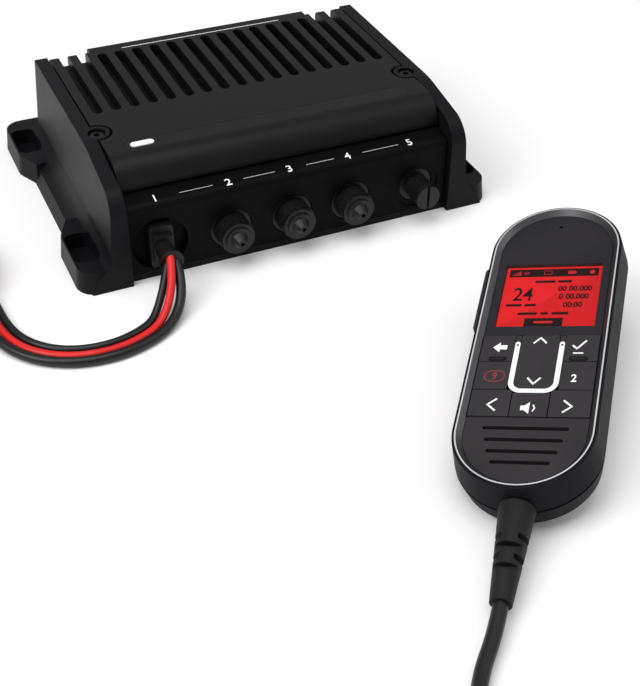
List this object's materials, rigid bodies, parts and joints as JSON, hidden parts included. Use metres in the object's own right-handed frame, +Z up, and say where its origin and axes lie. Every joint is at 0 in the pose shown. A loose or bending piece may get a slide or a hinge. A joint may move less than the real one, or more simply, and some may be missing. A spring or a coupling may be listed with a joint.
{
  "type": "vhf marine radio",
  "caption": "Black-box marine VHF transceiver with finned top, sealed front connectors and a corded handset with display, keys and loudspeaker.",
  "frame": {"origin": "centre of the box's four mounting holes, on the plane that the box stands on", "axes": "+X to the box's right seen from the connector face, +Y towards its back, +Z up out of the finned top"},
  "size_m": [0.372, 0.5568, 0.0619],
  "materials": {
    "powder_black": "fine matte powder coat",
    "black_steel": "satin black",
    "inlay_black": "printed film",
    "light_guide": "frosted",
    "circuit_board": "solder mask",
    "plated_steel": "zinc plated",
    "module_shell": "bare",
    "tin_plate": "tin plated",
    "black_nylon": "moulded, fine grain",
    "nickel_brass": "nickel plated",
    "handset_plastic": "fine spark texture",
    "black_rubber": "moulded",
    "bevelled_metal": "dark anodised with a bright edge",
    "face_plastic": "satin",
    "clear_pane": "clear, hard coated",
    "lcd_red": "backlit display",
    "speaker_black": "plain",
    "cord_jacket": "smooth polyurethane jacket",
    "key_rubber": "satin with printed legends",
    "distress_red": "satin",
    "lead_jacket_black": "PVC jacket",
    "lead_jacket_red": "PVC jacket",
    "cap_rubber": "moulded"
  },
  "bodies": {
    "base": {"chassis": "powder_black", "heatsink_cover": "powder_black", "front_panel": "powder_black", "rear_panel": "powder_black", "cover_screws": "black_steel", "label_strip": "inlay_black", "status_light": "light_guide", "main_board": "circuit_board", "board_screws": "plated_steel", "power_module": "module_shell", "shield_cans": "tin_plate", "power_socket": "black_nylon", "accessory_sockets": "black_nylon", "data_socket": "black_nylon", "antenna_socket": "nickel_brass", "gps_socket": "nickel_brass"},
    "handset": {"handset_front_shell": "handset_plastic", "handset_rear_shell": "handset_plastic", "handset_seal": "black_rubber", "trim_ring": "bevelled_metal", "display_panel": "face_plastic", "display_window": "clear_pane", "lcd_module": "lcd_red", "grille_panel": "face_plastic", "key_light": "light_guide", "handset_board": "circuit_board", "speaker": "speaker_black", "microphone": "plated_steel", "talk_switch": "black_nylon", "hanger_stud": "plated_steel", "handset_screws": "plated_steel", "cord_boot": "black_rubber", "handset_cord": "cord_jacket", "cord_coil": "cord_jacket", "cord_plug": "black_nylon"},
    "rocker": {"rocker_key": "key_rubber"},
    "talk": {"talk_key": "key_rubber"},
    "flap": {"distress_flap": "distress_red"},
    "distress": {"distress_button": "distress_red"},
    "power_plug": {"power_plug": "black_nylon", "lead_black": "lead_jacket_black", "lead_red": "lead_jacket_red", "lead_drain": "lead_jacket_black", "lead_coil": "lead_jacket_black"},
    "data_seal": {"data_seal": "black_rubber"},
    "data_cap": {"data_cap": "black_nylon"},
    "key_back": {"key_back": "key_rubber"},
    "key_enter": {"key_enter": "key_rubber"},
    "key_watch": {"key_watch": "key_rubber"},
    "key_power_level": {"key_power_level": "key_rubber"},
    "key_left": {"key_left": "key_rubber"},
    "key_volume": {"key_volume": "key_rubber"},
    "key_right": {"key_right": "key_rubber"},
    "cap_1": {"cap_plug_1": "cap_rubber"},
    "ring_1": {"lock_ring_1": "black_nylon"},
    "cap_2": {"cap_plug_2": "cap_rubber"},
    "ring_2": {"lock_ring_2": "black_nylon"},
    "cap_3": {"cap_plug_3": "cap_rubber"},
    "ring_3": {"lock_ring_3": "black_nylon"}
  },
  "joints": [
    {"name": "handset_lift", "type": "slide", "parent": "base", "child": "handset", "axis": [0, 0, 1], "range_m": [0, 0.15]},
    {"name": "key_back_press", "type": "slide", "parent": "handset", "child": "key_back", "axis": [0.284, -0.0303, -0.9583], "range_m": [0, 0.0008], "stiffness_N_per_m": 400, "springref_m": -0.0005},
    {"name": "key_enter_press", "type": "slide", "parent": "handset", "child": "key_enter", "axis": [0.284, -0.0303, -0.9583], "range_m": [0, 0.0008], "stiffness_N_per_m": 400, "springref_m": -0.0005},
    {"name": "key_watch_press", "type": "slide", "parent": "handset", "child": "key_watch", "axis": [0.284, -0.0303, -0.9583], "range_m": [0, 0.0008], "stiffness_N_per_m": 400, "springref_m": -0.0005},
    {"name": "key_power_level_press", "type": "slide", "parent": "handset", "child": "key_power_level", "axis": [0.284, -0.0303, -0.9583], "range_m": [0, 0.0008], "stiffness_N_per_m": 400, "springref_m": -0.0005},
    {"name": "key_left_press", "type": "slide", "parent": "handset", "child": "key_left", "axis": [0.284, -0.0303, -0.9583], "range_m": [0, 0.0008], "stiffness_N_per_m": 400, "springref_m": -0.0005},
    {"name": "key_volume_press", "type": "slide", "parent": "handset", "child": "key_volume", "axis": [0.284, -0.0303, -0.9583], "range_m": [0, 0.0008], "stiffness_N_per_m": 400, "springref_m": -0.0005},
    {"name": "key_right_press", "type": "slide", "parent": "handset", "child": "key_right", "axis": [0.284, -0.0303, -0.9583], "range_m": [0, 0.0008], "stiffness_N_per_m": 400, "springref_m": -0.0005},
    {"name": "rocker_tip", "type": "hinge", "parent": "handset", "child": "rocker", "pos_m": [0.04147, -0.25814, 0.03445], "axis": [0.7391, -0.6298, 0.2389], "range_deg": [-3, 3], "stiffness_Nm_per_rad": 0.05},
    {"name": "talk_press", "type": "slide", "parent": "handset", "child": "talk", "axis": [0.7391, -0.6298, 0.2389], "range_m": [0, 0.0016], "stiffness_N_per_m": 500, "springref_m": -0.0005},
    {"name": "flap_open", "type": "hinge", "parent": "handset", "child": "flap", "pos_m": [0.01623, -0.24416, 0.02337], "axis": [0.6108, 0.7762, 0.1564], "range_deg": [0, 90], "stiffness_Nm_per_rad": 0.005, "springref_deg": -11.46},
    {"name": "distress_press", "type": "slide", "parent": "handset", "child": "distress", "axis": [0.764, -0.6296, 0.1409], "range_m": [0, 0.0008], "stiffness_N_per_m": 400, "springref_m": -0.0005},
    {"name": "power_plug_pull", "type": "slide", "parent": "base", "child": "power_plug", "axis": [0, -1, 0], "range_m": [0, 0.014]},
    {"name": "cap_1_pull", "type": "slide", "parent": "base", "child": "cap_1", "axis": [0, -1, 0], "range_m": [0, 0.016]},
    {"name": "ring_1_turn", "type": "hinge", "parent": "cap_1", "child": "ring_1", "pos_m": [-0.0359, -0.09, 0.0189], "axis": [0, -1, 0], "range_deg": [0, 40]},
    {"name": "cap_2_pull", "type": "slide", "parent": "base", "child": "cap_2", "axis": [0, -1, 0], "range_m": [0, 0.016]},
    {"name": "ring_2_turn", "type": "hinge", "parent": "cap_2", "child": "ring_2", "pos_m": [-0.0011, -0.09, 0.0189], "axis": [0, -1, 0], "range_deg": [0, 40]},
    {"name": "cap_3_pull", "type": "slide", "parent": "base", "child": "cap_3", "axis": [0, -1, 0], "range_m": [0, 0.016]},
    {"name": "ring_3_turn", "type": "hinge", "parent": "cap_3", "child": "ring_3", "pos_m": [0.0334, -0.09, 0.0189], "axis": [0, -1, 0], "range_deg": [0, 40]},
    {"name": "data_cap_travel", "type": "slide", "parent": "base", "child": "data_seal", "axis": [0, -1, 0], "range_m": [0, 0.0024]},
    {"name": "data_cap_turn", "type": "hinge", "parent": "data_seal", "child": "data_cap", "pos_m": [0.0736, -0.09, 0.0189], "axis": [0, -1, 0], "range_deg": [0, 865]}
  ],
  "couplings": [
    {"joint": "data_cap_turn", "follows": "data_cap_travel", "rad_per_m": 6283.2}
  ]
}
